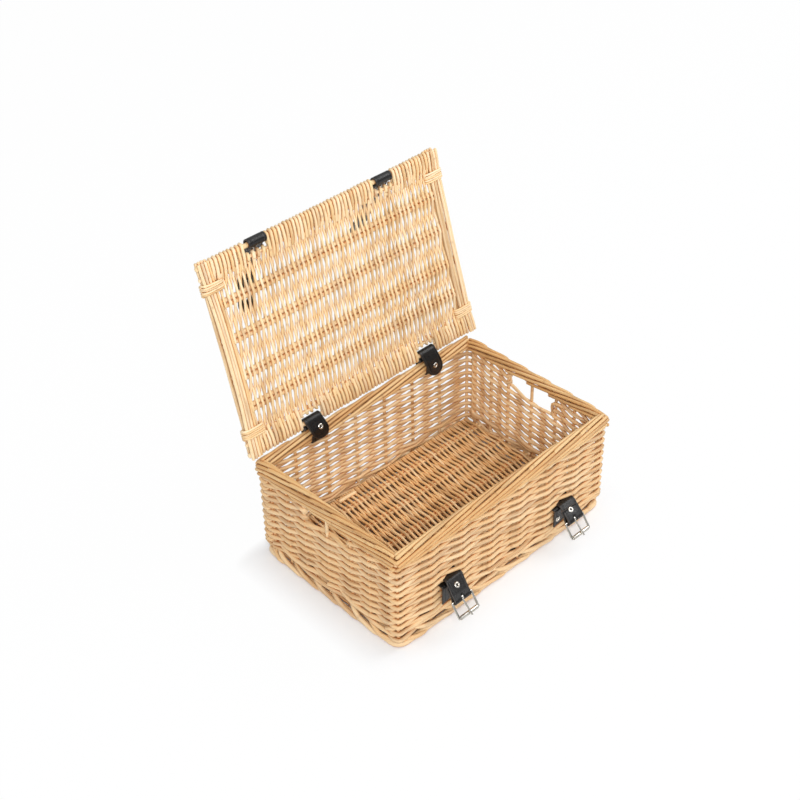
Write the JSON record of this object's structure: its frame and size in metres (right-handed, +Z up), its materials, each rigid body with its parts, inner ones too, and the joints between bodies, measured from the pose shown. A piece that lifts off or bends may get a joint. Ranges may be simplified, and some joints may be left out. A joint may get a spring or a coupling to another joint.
{
  "type": "wicker hamper basket",
  "caption": "Rectangular woven willow hamper with a hinged woven lid held on leather loops, leather closure straps, roller buckles and hand holes in both ends.",
  "frame": {"origin": "centre of the basket's underside, on the surface it stands on", "axes": "+X to the right seen from the buckle side, +Y towards the hinge side, +Z up"},
  "size_m": [0.379, 0.388, 0.3924],
  "materials": {
    "willow": "buff peeled willow, satin",
    "willow_base": "darker buff willow, satin",
    "leather": "black smooth leather",
    "nickel": "polished nickel plate"
  },
  "bodies": {
    "basket": {"base_panel": "willow_base", "base_stick_1": "willow", "base_stick_2": "willow", "base_stick_3": "willow", "base_stick_4": "willow", "base_stick_5": "willow", "foot_wale": "willow", "front_wall": "willow", "back_wall": "willow", "left_wall": "willow", "right_wall": "willow", "corner_post_front_left": "willow", "corner_post_front_right": "willow", "corner_post_back_left": "willow", "corner_post_back_right": "willow", "front_rim_and_stakes": "willow", "back_rim_and_stakes": "willow", "left_rim_and_stakes": "willow", "right_rim_and_stakes": "willow", "hinge_strap_left": "leather", "hinge_strap_right": "leather", "hinge_rivet_left": "nickel", "hinge_rivet_right": "nickel", "buckle_strap_left": "leather", "buckle_strap_right": "leather", "buckle_rivet_left": "nickel", "buckle_rivet_right": "nickel"},
    "lid": {"lid_panel": "willow", "lid_back_rod": "willow", "lid_front_rod": "willow", "lid_back_second_rod": "willow", "lid_front_second_rod": "willow", "lid_stick_1": "willow", "lid_stick_2": "willow", "lid_stick_3": "willow", "lid_stick_4": "willow", "lid_side_bundle_left": "willow", "lid_side_bundle_right": "willow", "lid_binding_back_left": "willow", "lid_binding_front_left": "willow", "lid_binding_back_right": "willow", "lid_binding_front_right": "willow"},
    "closure_strap_left": {"closure_strap_left": "leather", "closure_rivet_left": "nickel"},
    "closure_strap_right": {"closure_strap_right": "leather", "closure_rivet_right": "nickel"},
    "buckle_frame_left": {"buckle_frame_left": "nickel"},
    "buckle_prong_left": {"buckle_prong_left": "nickel"},
    "buckle_roller_left": {"buckle_roller_left": "nickel"},
    "buckle_frame_right": {"buckle_frame_right": "nickel"},
    "buckle_prong_right": {"buckle_prong_right": "nickel"},
    "buckle_roller_right": {"buckle_roller_right": "nickel"}
  },
  "joints": [
    {"name": "lid_hinge", "type": "hinge", "parent": "basket", "child": "lid", "pos_m": [0, 0.117, 0.157], "axis": [1, 0, 0], "range_deg": [0, 106]},
    {"name": "closure_strap_left_swing", "type": "hinge", "parent": "lid", "child": "closure_strap_left", "pos_m": [-0.103, 0.17834, 0.38592], "axis": [1, 0, 0], "range_deg": [0, 190]},
    {"name": "closure_strap_right_swing", "type": "hinge", "parent": "lid", "child": "closure_strap_right", "pos_m": [0.091, 0.17834, 0.38592], "axis": [1, 0, 0], "range_deg": [0, 190]},
    {"name": "buckle_left_pivot", "type": "hinge", "parent": "basket", "child": "buckle_frame_left", "pos_m": [-0.097, -0.13945, 0.04564], "axis": [1, 0, 0], "range_deg": [-40, 60]},
    {"name": "prong_left_pivot", "type": "hinge", "parent": "buckle_frame_left", "child": "buckle_prong_left", "pos_m": [-0.097, -0.13945, 0.04564], "axis": [1, 0, 0], "range_deg": [-85, 0]},
    {"name": "roller_left_spin", "type": "hinge", "parent": "buckle_frame_left", "child": "buckle_roller_left", "pos_m": [-0.097, -0.15149, 0.02966], "axis": [1, 0, 0], "continuous": true},
    {"name": "buckle_right_pivot", "type": "hinge", "parent": "basket", "child": "buckle_frame_right", "pos_m": [0.098, -0.13945, 0.03964], "axis": [1, 0, 0], "range_deg": [-40, 60]},
    {"name": "prong_right_pivot", "type": "hinge", "parent": "buckle_frame_right", "child": "buckle_prong_right", "pos_m": [0.098, -0.13945, 0.03964], "axis": [1, 0, 0], "range_deg": [-85, 0]},
    {"name": "roller_right_spin", "type": "hinge", "parent": "buckle_frame_right", "child": "buckle_roller_right", "pos_m": [0.098, -0.15149, 0.02366], "axis": [1, 0, 0], "continuous": true}
  ]
}
